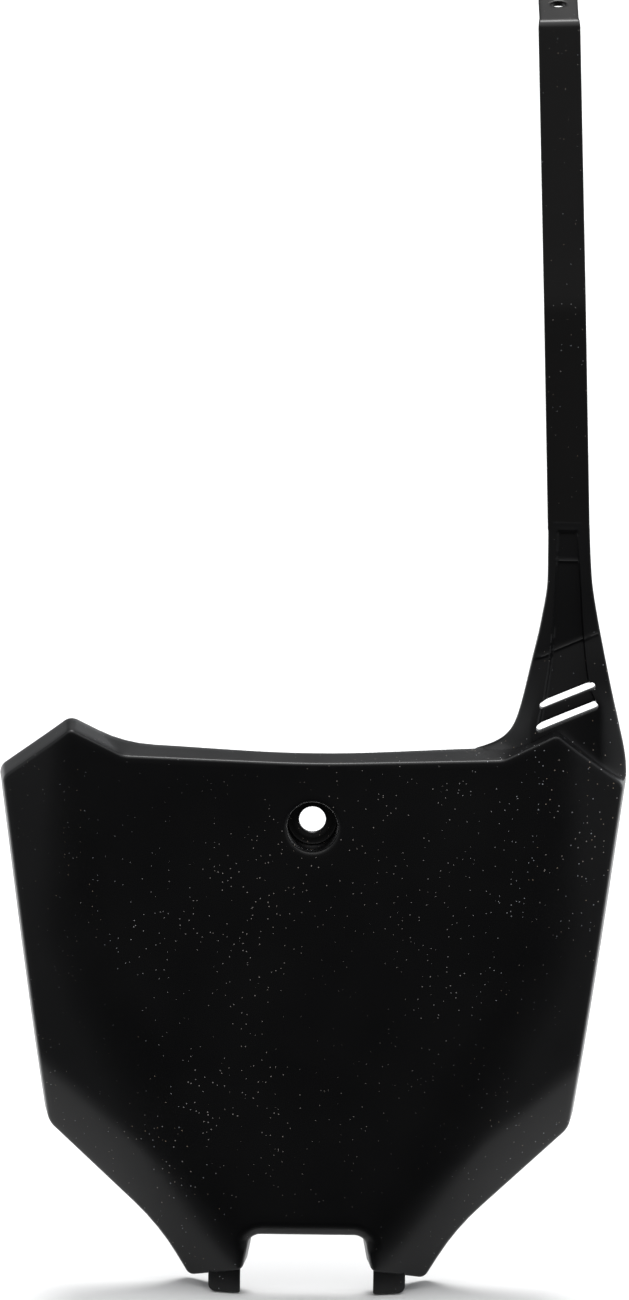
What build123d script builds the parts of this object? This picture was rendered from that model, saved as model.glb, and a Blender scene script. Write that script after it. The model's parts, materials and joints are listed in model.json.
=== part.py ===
"""Front number plate with a wrap-round handlebar strap, for an off-road bike.

The plate is a dished shell: a flat centre panel, two wings and two lower facets that
sweep back from it, and a drafted rim.  A recessed cup takes the one fixing bolt, two
prongs at the foot drop into the guard below, and a long strap rises from a stiff root
at the right shoulder.  The strap goes over the handlebar and its bent tip comes back
through the slots of the root.

Frame: millimetres, X to the viewer's right, the face looks along -Y, Z up, and the
origin is the centre of the bolt hole, halfway through the floor of the cup.
"""
from build123d import *
from math import cos, radians, sin, tan
import os

os.makedirs("parts", exist_ok=True)

# ---------------------------------------------------------------- driving dimensions
# plate outline, measured on the front edge of the face
plate_half_width = 118.8      # centre line to the shoulder corner
apex_x = 92.8                 # shoulder apex, left and right
dip_x = 72.5                  # inner end of the shoulder slope
top_z = 24.8                  # top edge on the centre line
dip_z = 27.0
apex_z = 37.0
shoulder_z = 15.3
hip_x = 100.5                 # where the side turns into the lower diagonal
hip_z = -124.8
shin_x = 57.2                 # the diagonal steepens here towards the foot
shin_z = -163.4
foot_outer_x = 45.4
foot_outer_z = -183.0
foot_inner_x = 24.8
foot_inner_z = -177.0
notch_half_width = 22.3
notch_z = -162.8

apex_radius = 3.0
shoulder_radius = 4.0
dip_radius = 8.0
hip_radius = 8.0
foot_radius = 2.0
notch_radius = 5.0

# shell
wall = 2.5
rim_depth = 15.0
rim_draft = 6.5               # degrees, the rim opens towards the back
wing_sweep = 25.0             # degrees back from the centre panel
facet_sweep = 34.5
knee_x = 60.0                 # where wing, lower facet and centre panel meet
knee_z = -122.0
panel_foot_x = 31.0           # lower end of the centre panel's edge
panel_foot_z = -177.3

# bolt cup
bolt_hole_radius = 5.1        # clears a 10 mm collar
cup_mouth_radius = 9.75
cup_depth = 12.5              # face to the front of the cup's floor
cup_wall = 2.5
mouth_round = 1.2             # rounded lip of the cup

# prongs at the foot
prong_width = 12.4
prong_centre_x = 31.9
prong_thickness = 4.0
prong_setback = 5.0           # behind the face
prong_reach = 5.0             # below the foot's lowest corner
prong_length = 16.5           # from its lower end up into the foot
prong_corner = 2.5

# strap root, with heights above the shoulder apex and places to the right of it
root_setback = 5.0            # ridge of the root behind the face's front edge
root_thickness = 4.6
root_lean = 15.0              # degrees back, from the rim to the crease
root_floor_height = -20.0     # buried in the rim, below the shoulder slope
crease_height = 32.0
waist_height = 56.0           # narrowest part of the flare
channel_depth = 2.2
channel_top_height = 64.0     # the floor is full depth up to here
channel_ramp_height = 76.0    # and rises to the strap's face here
# height, left edge, right edge, channel's left wall, its right wall
root_flare = [
    (root_floor_height, -26.8, 26.6, -7.8, 13.7),
    (0.0, -17.2, 24.1, -7.8, 13.7),
    (crease_height / 2, -11.8, 20.6, -4.6, 12.5),
    (crease_height, -8.0, 17.6, -2.4, 10.7),
    (waist_height, -4.4, 13.4, -1.1, 9.4),
]
rib_widths = [1.0, 1.0, 0.9, 0.9, 0.9]         # level strip beside the channel
left_flank_back = [7.7, 5.2, 2.6, 1.2, 0.4]    # the left flank reaches the rim's back edge
right_rib_back = [6.3, 4.6, 1.8, 0.2, 0.0]     # the right side follows the wing
right_flank_back = [12.4, 9.0, 4.4, 1.4, 0.4]
slot_width = 3.0
slot_pitch = 7.6
slot_tilt = 21.0              # degrees, right end higher
upper_slot_length = 22.5
lower_slot_length = 25.0
slot_place = 3.9              # middle of the pair of slots
slot_height = 9.5

# strap
strap_width = 16.0
strap_thickness = 2.3
strap_tilt = 1.9              # degrees, leans towards the plate's centre line
strap_crown = 0.1             # height of the strap's face above its edges
channel_margin = 3.6          # strap left beside the channel's upper end
strap_foot_place = 3.2        # centre line at the first hinge line
strap_foot_height = 83.0
link_count = 7
link_pitch = 26.7
lower_lean = 4.0              # degrees back from upright, below the moulded bend
upper_lean = 14.0             # above it
bend_link = 3                 # links up to the moulded bend
hinge_clearance = 0.15

# bent tip
tip_length = 24.0
tip_width = 15.0
tip_bend = 62.0               # degrees back from the strap
tip_corner = 3.0
tip_hole_radius = 2.8
tip_hole_inset = 7.5          # from the end of the tip
gate_width = 3.2              # stub of the moulding gate on the tip's end
gate_length = 1.2
gate_thickness = 1.4

# ---------------------------------------------------------------- derived places
face_y = -(cup_depth + wall / 2)
crease_z = apex_z + crease_height
strap_foot_x = apex_x + strap_foot_place
strap_foot_z = apex_z + strap_foot_height
slot_x = apex_x + slot_place
slot_z = apex_z + slot_height
envelope_depth = 42.0         # deeper than any part of the rim
block_margin = 60.0           # of the working block, outside the plate
strap_radius = strap_thickness / 2


def across(tilt):
    """Direction along the strap's width, for a strap tilted in the front view."""
    return Vector(cos(radians(tilt)), 0, sin(radians(tilt)))


def along(tilt, lean):
    """Direction up the strap: tilted to the left and leaning back."""
    rise = cos(radians(lean))
    return Vector(-sin(radians(tilt)) * rise, sin(radians(lean)), cos(radians(tilt)) * rise)


def face_plane(depth=0.0):
    """A plane facing backwards, depth behind the front of the centre panel."""
    return Plane(origin=(0, face_y + depth, 0), x_dir=(-1, 0, 0), z_dir=(0, 1, 0))


def plate_outline():
    """The front edge of the face, both halves, with its corners rounded."""
    with BuildSketch() as outline:
        with BuildLine():
            half = Polyline(
                (0, top_z),
                (dip_x, dip_z),
                (apex_x, apex_z),
                (plate_half_width, shoulder_z),
                (hip_x, hip_z),
                (shin_x, shin_z),
                (foot_outer_x, foot_outer_z),
                (foot_inner_x, foot_inner_z),
                (notch_half_width, notch_z),
                (0, notch_z),
            )
            mirror(half, about=Plane.YZ)
        make_face()
        for x, z, radius in corner_radii:
            for side in (-1, 1):
                target = Vector(side * x, z, 0)
                fillet(outline.vertices().sort_by_distance(target)[0], radius)
    return outline.sketch


def swept_back(start, end, sweep):
    """Plane through the line start-end on the face, sweeping back to its outside.

    Its normal points forwards, away from the material.
    """
    line = Vector(end[0] - start[0], 0, end[1] - start[1]).normalized()
    side = 1 if start[0] > 0 else -1
    outward = line.cross(Vector(0, side, 0))
    normal = Vector(0, -cos(radians(sweep)), 0) + outward * sin(radians(sweep))
    return Plane(origin=(start[0], face_y, start[1]), x_dir=line, z_dir=normal)


corner_radii = [
    (dip_x, dip_z, dip_radius),
    (apex_x, apex_z, apex_radius),
    (plate_half_width, shoulder_z, shoulder_radius),
    (hip_x, hip_z, hip_radius),
    (foot_outer_x, foot_outer_z, foot_radius),
    (foot_inner_x, foot_inner_z, foot_radius),
    (notch_half_width, notch_z, notch_radius),
]

# ---------------------------------------------------------------- working solids
# block: everything behind the folded surface of the face
block_width = 2 * (plate_half_width + block_margin)
block_height = apex_z - foot_outer_z + 2 * block_margin
block_centre_z = (apex_z + foot_outer_z) / 2
with BuildPart() as block:
    with BuildSketch(face_plane()):
        with Locations((0, block_centre_z)):
            Rectangle(block_width, block_height)
    extrude(amount=2 * envelope_depth)
    for side in (-1, 1):
        knee = (side * knee_x, knee_z)
        apex = (side * apex_x, apex_z)
        panel_foot = (side * panel_foot_x, panel_foot_z)
        split(bisect_by=swept_back(apex, knee, wing_sweep), keep=Keep.BOTTOM)
        split(bisect_by=swept_back(knee, panel_foot, facet_sweep), keep=Keep.BOTTOM)

# envelope: the plate without its hollow
outline = plate_outline()
with BuildPart() as envelope:
    with BuildSketch(face_plane()):
        add(outline)
    extrude(amount=envelope_depth, taper=-rim_draft)
    add(block.part, mode=Mode.INTERSECT)
    add(block.part.moved(Location((0, rim_depth, 0))), mode=Mode.SUBTRACT)

# hollow: the space inside the rim, behind the face
with BuildPart() as hollow:
    with BuildSketch(face_plane()):
        add(outline)
        offset(amount=-wall, kind=Kind.INTERSECTION, mode=Mode.REPLACE)
    extrude(amount=envelope_depth, taper=-rim_draft)
    add(block.part.moved(Location((0, wall, 0))), mode=Mode.INTERSECT)

# ---------------------------------------------------------------- face shell
with BuildPart() as face_shell:
    add(envelope.part)
    add(hollow.part, mode=Mode.SUBTRACT)
    with BuildSketch(face_plane()):
        Circle(cup_mouth_radius)
    extrude(amount=2 * wall, mode=Mode.SUBTRACT)
    mouth = face_shell.edges().filter_by(GeomType.CIRCLE).filter_by_position(Axis.Y, face_y, face_y)
    fillet(mouth.sort_by_distance((0, face_y, 0))[0], mouth_round)
face_shell.part.label = "face_shell"
export_step(face_shell.part, "parts/face_shell.step")

# ---------------------------------------------------------------- bolt cup
with BuildPart() as bolt_cup:
    with BuildSketch(face_plane(wall)):
        Circle(cup_mouth_radius + cup_wall)
    extrude(amount=cup_depth)
    with BuildSketch(face_plane(wall)):
        Circle(cup_mouth_radius)
    extrude(amount=cup_depth - wall, mode=Mode.SUBTRACT)
    with BuildSketch(face_plane(cup_depth)):
        Circle(bolt_hole_radius)
    extrude(amount=wall, mode=Mode.SUBTRACT)
bolt_cup.part.label = "bolt_cup"
export_step(bolt_cup.part, "parts/bolt_cup.step")

# ---------------------------------------------------------------- prongs
prong_bottom_z = foot_outer_z - prong_reach
for side, name in ((-1, "left_prong"), (1, "right_prong")):
    with BuildPart() as prong:
        with BuildSketch(Plane.XZ.offset(-(face_y + prong_setback))):
            with Locations((side * prong_centre_x, prong_bottom_z)):
                Rectangle(prong_width, prong_length, align=(Align.CENTER, Align.MIN))
        extrude(amount=-prong_thickness)
        outer_edge = prong.edges().filter_by(Axis.Y).group_by(Axis.Z)[0]
        fillet(outer_edge.sort_by(Axis.X)[-1 if side > 0 else 0], prong_corner)
        add(envelope.part, mode=Mode.SUBTRACT)
    prong.part.label = name
    export_step(prong.part, f"parts/{name}.step")

# ---------------------------------------------------------------- strap root
def root_front(z):
    """Depth of the root's front ridge at height z: upright, leaning, then the strap's lean."""
    depth = face_y + root_setback
    if z > apex_z:
        depth += (min(z, crease_z) - apex_z) * tan(radians(root_lean))
    if z > crease_z:
        depth += (z - crease_z) * tan(radians(lower_lean))
    return depth


def strap_side(z, side):
    """Edge of the strap at height z, on its left (-1) or right (+1)."""
    shift = (z - strap_foot_z) * tan(radians(strap_tilt))
    return strap_foot_x - shift + side * strap_width / 2


def root_section(z, xs, backs, thick):
    """Cross-section of the root: four points across its face, set back, and a thickness.

    The middle pair are the two ribs, and a flank slopes back outside each of them.
    """
    front = root_front(z)
    face = [(x, front + back) for x, back in zip(xs, backs)]
    rear = [(x, y + thick) for x, y in reversed(face)]
    with BuildSketch(Plane.XY.offset(z)) as section:
        with BuildLine():
            Polyline(*face, *rear, close=True)
        make_face()
    return section.sketch


def channel_section(z, left, right, right_back, depth):
    """Cross-section of the space in front of the channel's floor."""
    front = root_front(z)
    with BuildSketch(Plane.XY.offset(z)) as section:
        with BuildLine():
            Polyline(
                (left, front - rim_depth),
                (right, front - rim_depth),
                (right, front + right_back + depth),
                (left, front + depth),
                close=True,
            )
        make_face()
    return section.sketch


first_hinge = Vector(strap_foot_x, root_front(strap_foot_z) + strap_radius, strap_foot_z)
hinge_line = across(strap_tilt)
root_top_z = strap_foot_z + strap_thickness
channel_top_left = strap_foot_x - strap_width / 2 + channel_margin
channel_top_right = strap_foot_x + strap_width / 2 - channel_margin
top_left = strap_side(root_top_z, -1)
top_right = strap_side(root_top_z, 1)
with BuildPart() as strap_root:
    sections = []
    spaces = []
    for place, (height, *across_root) in enumerate(root_flare):
        z = apex_z + height
        left, right, wall_left, wall_right = [apex_x + offset for offset in across_root]
        rib = rib_widths[place]
        rib_back = right_rib_back[place]
        xs = (left, wall_left - rib, wall_right + rib, right)
        backs = (left_flank_back[place], 0, rib_back, right_flank_back[place])
        sections.append(root_section(z, xs, backs, root_thickness))
        spaces.append(channel_section(z, wall_left, wall_right, rib_back, channel_depth))
    xs = (top_left, channel_top_left, channel_top_right, top_right)
    backs = (strap_crown, 0, 0, strap_crown)
    sections.append(root_section(root_top_z, xs, backs, strap_thickness))
    loft(sections, ruled=True)
    for height, depth in ((channel_top_height, channel_depth), (channel_ramp_height, 0)):
        space = channel_section(apex_z + height, channel_top_left, channel_top_right, 0, depth)
        spaces.append(space)
    loft(spaces, ruled=True, mode=Mode.SUBTRACT)
    for step, length in ((0.5, upper_slot_length), (-0.5, lower_slot_length)):
        with BuildSketch(Plane.XZ):
            rise = step * slot_pitch
            with Locations((slot_x - rise * sin(radians(slot_tilt)),
                            slot_z + rise * cos(radians(slot_tilt)))):
                SlotOverall(length, slot_width, rotation=slot_tilt)
        extrude(amount=2 * rim_depth, both=True, mode=Mode.SUBTRACT)
    add(envelope.part, mode=Mode.SUBTRACT)
    split(bisect_by=Plane(origin=first_hinge, z_dir=along(strap_tilt, lower_lean)), keep=Keep.BOTTOM)
    with BuildSketch(Plane(origin=first_hinge, x_dir=(0, 1, 0), z_dir=hinge_line)):
        Circle(strap_radius + hinge_clearance)
    extrude(amount=strap_width, both=True, mode=Mode.SUBTRACT)
strap_root.part.label = "strap_root"
export_step(strap_root.part, "parts/strap_root.step")

# ---------------------------------------------------------------- strap links
hinge = first_hinge
for index in range(1, link_count + 1):
    lean = lower_lean if index <= bend_link else upper_lean
    direction = along(strap_tilt, lean)
    side_plane = Plane(origin=hinge, x_dir=direction, z_dir=hinge_line)
    with BuildPart() as strap_link:
        with BuildSketch(side_plane):
            Circle(strap_radius)
            Rectangle(link_pitch, strap_thickness, align=(Align.MIN, Align.CENTER))
            seat_drop = strap_radius + hinge_clearance if index == link_count else 0
            with Locations((link_pitch, 0)):
                Circle(strap_radius + hinge_clearance, mode=Mode.SUBTRACT)
            with Locations((link_pitch - seat_drop, 0)):
                Rectangle(strap_thickness, 2 * strap_thickness,
                          align=(Align.MIN, Align.CENTER), mode=Mode.SUBTRACT)
        extrude(amount=strap_width / 2, both=True)
    name = f"strap_link_{index}"
    strap_link.part.label = name
    export_step(strap_link.part, f"parts/{name}.step")
    print(name, "hinge at", [round(value, 4) for value in hinge])
    hinge = hinge + direction * link_pitch

# ---------------------------------------------------------------- bent tip
tip_direction = along(strap_tilt, upper_lean + tip_bend)
with BuildPart() as strap_tip:
    with BuildSketch(Plane(origin=hinge, x_dir=tip_direction, z_dir=hinge_line)):
        Circle(strap_radius)
    extrude(amount=strap_width / 2, both=True)
    tip_normal = tip_direction.cross(hinge_line)
    with BuildSketch(Plane(origin=hinge, x_dir=tip_direction, z_dir=tip_normal)) as tip_face:
        Rectangle(tip_length, tip_width, align=(Align.MIN, Align.CENTER))
        end_corners = tip_face.vertices().sort_by_distance(hinge)[2:]
        fillet(end_corners, tip_corner)
        with Locations((tip_length - tip_hole_inset, 0)):
            Circle(tip_hole_radius, mode=Mode.SUBTRACT)
    extrude(amount=strap_radius, both=True)
    with BuildSketch(Plane(origin=hinge, x_dir=tip_direction, z_dir=tip_normal)):
        with Locations((tip_length, 0)):
            Rectangle(gate_length, gate_width, align=(Align.MIN, Align.CENTER))
    extrude(amount=gate_thickness / 2, both=True)
strap_tip.part.label = "strap_tip"
export_step(strap_tip.part, "parts/strap_tip.step")
print("strap_tip hinge at", [round(value, 4) for value in hinge])
print("hinge line", [round(value, 6) for value in hinge_line])
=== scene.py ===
# %% [markdown]
# # A moulded front number plate and its handlebar strap
# The real part is one injection moulding in black polypropylene: a dished plate with
# swept wings, a bolt cup, two prongs at the foot, and a long strap that wraps round a
# handlebar.  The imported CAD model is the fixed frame, and every piece here is made in
# millimetres in that frame and handed to Blender in metres.

# %% Load the frame
import json
import math

import bmesh
import bpy
import numpy as np
from mathutils import Matrix, Vector
from mathutils.geometry import delaunay_2d_cdt


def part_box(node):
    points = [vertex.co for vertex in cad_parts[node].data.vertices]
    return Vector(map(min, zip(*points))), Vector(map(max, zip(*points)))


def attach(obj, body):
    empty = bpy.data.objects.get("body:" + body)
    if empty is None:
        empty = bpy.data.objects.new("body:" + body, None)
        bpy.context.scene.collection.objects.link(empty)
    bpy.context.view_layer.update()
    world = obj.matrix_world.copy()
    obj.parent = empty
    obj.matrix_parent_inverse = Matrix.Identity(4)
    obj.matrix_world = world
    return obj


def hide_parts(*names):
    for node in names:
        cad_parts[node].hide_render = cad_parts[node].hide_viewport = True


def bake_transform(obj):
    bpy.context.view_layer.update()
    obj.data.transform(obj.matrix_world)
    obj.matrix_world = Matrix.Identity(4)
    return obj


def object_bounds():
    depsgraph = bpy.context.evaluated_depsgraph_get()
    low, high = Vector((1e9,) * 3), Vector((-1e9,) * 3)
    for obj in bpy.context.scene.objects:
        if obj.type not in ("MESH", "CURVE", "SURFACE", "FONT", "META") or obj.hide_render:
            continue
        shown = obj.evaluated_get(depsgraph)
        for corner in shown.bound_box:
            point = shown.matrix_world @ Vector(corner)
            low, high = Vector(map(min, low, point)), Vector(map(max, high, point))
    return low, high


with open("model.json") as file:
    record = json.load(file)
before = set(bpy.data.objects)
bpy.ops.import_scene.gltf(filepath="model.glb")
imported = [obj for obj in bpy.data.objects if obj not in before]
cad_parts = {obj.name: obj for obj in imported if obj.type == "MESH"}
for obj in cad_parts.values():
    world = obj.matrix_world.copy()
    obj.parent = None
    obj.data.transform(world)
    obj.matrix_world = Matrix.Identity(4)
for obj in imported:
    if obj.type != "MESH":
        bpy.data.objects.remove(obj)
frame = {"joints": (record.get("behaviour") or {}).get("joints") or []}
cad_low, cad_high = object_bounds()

MM = 0.001
face_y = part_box("face_shell")[0].y / MM

# %% [markdown]
# ## Small tools
# Colours are written as sRGB hex values, the way a colour chart gives them, and one
# function turns them to the linear values that Blender works with.  One more function
# adds a node with its settings and its links, for materials and Geometry Nodes alike.

# %% Colour and node helpers
def linear(code, alpha=1.0):
    """A hex colour such as "1A2B3C" as linear red, green, blue and alpha."""
    parts = [int(code[i:i + 2], 16) / 255 for i in (0, 2, 4)]
    return [c / 12.92 if c <= 0.04045 else ((c + 0.055) / 1.055) ** 2.4 for c in parts] + [alpha]


def add_node(tree, kind, inputs=None, **settings):
    """Adds a node; inputs maps a socket's name or number to a value or to an output."""
    node = tree.nodes.new(kind)
    for name, value in settings.items():
        setattr(node, name, value)
    for socket, value in (inputs or {}).items():
        target = node.inputs[socket]
        if isinstance(value, bpy.types.NodeSocket):
            tree.links.new(value, target)
        else:
            target.default_value = value
    return node


print("linear of 808080:", round(linear("808080")[0], 4))


# %% Outline and mesh helpers
def beyond(x, z, start, end):
    """Distance past the line start-end, positive to the left of its direction."""
    dx, dz = end[0] - start[0], end[1] - start[1]
    size = math.hypot(dx, dz)
    return ((x - start[0]) * -dz + (z - start[1]) * dx) / size


def smooth_max(a, b, softness):
    """The larger of a and b, with the corner between them rounded off."""
    share = np.clip(softness - np.abs(a - b), 0, None) / softness
    return np.maximum(a, b) + share * share * softness / 4


def smooth_step(value, low, high):
    """0 below low, 1 above high, and an even S between them."""
    t = np.clip((value - low) / (high - low), 0, 1)
    return t * t * (3 - 2 * t)


def follow(values, table):
    """Smooth monotone curve through (place, value) rows, as a French curve would draw it."""
    places, heights = np.array(sorted(table), float).T
    steps = np.diff(places)
    slopes = np.diff(heights) / steps
    tangents = np.zeros(len(places))
    for i in range(1, len(places) - 1):
        if slopes[i - 1] * slopes[i] > 0:
            tangents[i] = 2 * slopes[i - 1] * slopes[i] / (slopes[i - 1] + slopes[i])
    tangents[0], tangents[-1] = slopes[0], slopes[-1]
    at = np.clip(values, places[0], places[-1])
    i = np.clip(np.searchsorted(places, at) - 1, 0, len(steps) - 1)
    t = (at - places[i]) / steps[i]
    return ((1 + 2 * t) * (1 - t) ** 2 * heights[i] + t * (1 - t) ** 2 * steps[i] * tangents[i]
            + t * t * (3 - 2 * t) * heights[i + 1] + t * t * (t - 1) * steps[i] * tangents[i + 1])


def rounded_loop(corners, inset=0.0, least=0.4, step=1.6, turn_step=7.0):
    """A closed outline of corners (x, z, radius), moved inwards, with its corners rounded.

    The number of points doesn't depend on the inset, so two loops can be joined.
    """
    place = np.array([c[:2] for c in corners], float)
    ahead = np.roll(place, -1, axis=0) - place
    length = np.hypot(*ahead.T)
    along = ahead / length[:, None]
    inward = np.stack([-along[:, 1], along[:, 0]], 1)
    loop = []
    arcs = []
    for i, (x, z, radius) in enumerate(corners):
        before, after = inward[i - 1], inward[i]
        corner = place[i] + inset * (before + after) / (1 + before @ after)
        cross = along[i - 1][0] * along[i][1] - along[i - 1][1] * along[i][0]
        turn = math.atan2(cross, along[i - 1] @ along[i])
        round_by = max(radius - inset if turn > 0 else radius + inset, least)
        start = corner - along[i - 1] * round_by * math.tan(abs(turn) / 2)
        side = before * math.copysign(1, turn)
        centre = start + side * round_by
        count = max(4, math.ceil(abs(math.degrees(turn)) / turn_step))
        arc = []
        for k in range(count + 1):
            angle = turn * k / count
            spin = np.array([[math.cos(angle), -math.sin(angle)],
                             [math.sin(angle), math.cos(angle)]])
            arc.append(centre - spin @ (side * round_by))
        arcs.append(arc)
    for i, arc in enumerate(arcs):
        follower = arcs[(i + 1) % len(arcs)][0]
        count = max(2, round(length[i] / step))
        loop += arc
        loop += [arc[-1] + (follower - arc[-1]) * k / count for k in range(1, count)]
    return np.array(loop)


def is_inside(points, loop):
    """Which points lie inside a closed loop."""
    odd = np.zeros(len(points), bool)
    for (x0, z0), (x1, z1) in zip(loop, np.roll(loop, -1, axis=0)):
        if z0 == z1:
            continue
        crosses = (z0 > points[:, 1]) != (z1 > points[:, 1])
        odd ^= crosses & (points[:, 0] < x0 + (x1 - x0) * (points[:, 1] - z0) / (z1 - z0))
    return odd


def spread(points, fixed, gap):
    """The points that keep at least gap to every fixed point."""
    keep = np.ones(len(points), bool)
    for start in range(0, len(points), 2000):
        part = points[start:start + 2000]
        near = ((part[:, None, :] - fixed[None]) ** 2).sum(2).min(1)
        keep[start:start + 2000] = near > gap * gap
    return points[keep]


def thinned(points, gap):
    """The points in order, without those too close to one kept before."""
    cells = {}
    kept = []
    for point in points:
        key = (int(point[0] // gap), int(point[1] // gap))
        near = [q for dx in (-1, 0, 1) for dz in (-1, 0, 1)
                for q in cells.get((key[0] + dx, key[1] + dz), [])]
        if all((point[0] - q[0]) ** 2 + (point[1] - q[1]) ** 2 >= gap * gap for q in near):
            cells.setdefault(key, []).append(point)
            kept.append(point)
    return np.array(kept).reshape(-1, 2)


def triangulated(outer, holes, guides, spacing):
    """Fills an outline with holes with even triangles; guides are points to go through."""
    fixed = np.vstack([outer, *holes])
    if len(guides):
        rows = spread(thinned(np.vstack(guides), spacing * 0.45), fixed, spacing * 0.4)
    else:
        rows = np.zeros((0, 2))
    low, high = outer.min(0), outer.max(0)
    lines = []
    for k, z in enumerate(np.arange(low[1], high[1], spacing * 0.866)):
        xs = np.arange(low[0] + (k % 2) * spacing / 2, high[0], spacing)
        lines.append(np.stack([xs, np.full(len(xs), z)], 1))
    grid = spread(np.vstack(lines), np.vstack([fixed, rows]), spacing * 0.72)
    inner = np.vstack([rows, grid])
    inner = inner[is_inside(inner, outer)]
    for hole in holes:
        inner = inner[~is_inside(inner, hole)]
    edges = []
    count = 0
    for loop in [outer, *holes]:
        edges += [(count + k, count + (k + 1) % len(loop)) for k in range(len(loop))]
        count += len(loop)
    points = np.vstack([fixed, inner])
    made = delaunay_2d_cdt([Vector(p) for p in points], edges, [], 1, 1e-7)
    points = np.array([tuple(p) for p in made[0]])
    faces = np.array(made[2])
    middle = points[faces].mean(1)
    keep = is_inside(middle, outer)
    for hole in holes:
        keep &= ~is_inside(middle, hole)
    return points, faces[keep]


class Shell:
    """Collects skins and bands of one closed piece, in millimetres."""

    def __init__(self):
        self.points = []
        self.faces = []

    def skin(self, points, faces):
        start = len(self.points)
        self.points += [tuple(p) for p in points]
        self.faces += [tuple(int(k) + start for k in face) for face in faces]

    def bands(self, rings):
        """Quads between closed rings that have the same number of points."""
        start, count = len(self.points), len(rings[0])
        for ring in rings:
            self.points += [tuple(p) for p in ring]
        for r in range(len(rings) - 1):
            for k in range(count):
                a, b = start + r * count + k, start + r * count + (k + 1) % count
                self.faces.append((a, b, b + count, a + count))

    def piece(self, name, material, sharp=50.0):
        """The finished object: welded, closed, facing outwards and shaded smooth."""
        mesh = bpy.data.meshes.new(name)
        mesh.from_pydata([[c * MM for c in p] for p in self.points], [], self.faces)
        return finished(name, mesh, material, sharp)


def finished(name, mesh, material, sharp=50.0):
    """Welds a mesh, turns its faces outwards, marks its hard edges and links it."""
    form = bmesh.new()
    form.from_mesh(mesh)
    bmesh.ops.remove_doubles(form, verts=form.verts, dist=0.002 * MM)
    bmesh.ops.dissolve_degenerate(form, edges=form.edges, dist=0.001 * MM)
    bmesh.ops.recalc_face_normals(form, faces=form.faces)
    for face in form.faces:
        face.smooth = True
    for edge in form.edges:
        edge.smooth = len(edge.link_faces) < 2 or edge.calc_face_angle(0) < math.radians(sharp)
    open_edges = sum(1 for edge in form.edges if len(edge.link_faces) != 2)
    volume = form.calc_volume(signed=True)
    form.to_mesh(mesh)
    form.free()
    mesh.materials.clear()
    mesh.materials.append(material)
    piece = bpy.data.objects.new(name, mesh)
    bpy.context.scene.collection.objects.link(piece)
    print(f"{name}: {len(mesh.polygons)} faces, {open_edges} open edges, "
          f"{volume * 1e6:.2f} cm3")
    return piece


square = rounded_loop([(0, 1, 0.2), (-1, 0, 0.2), (0, -1, 0.2), (1, 0, 0.2)])
print("a test outline has", len(square), "points")
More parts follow.
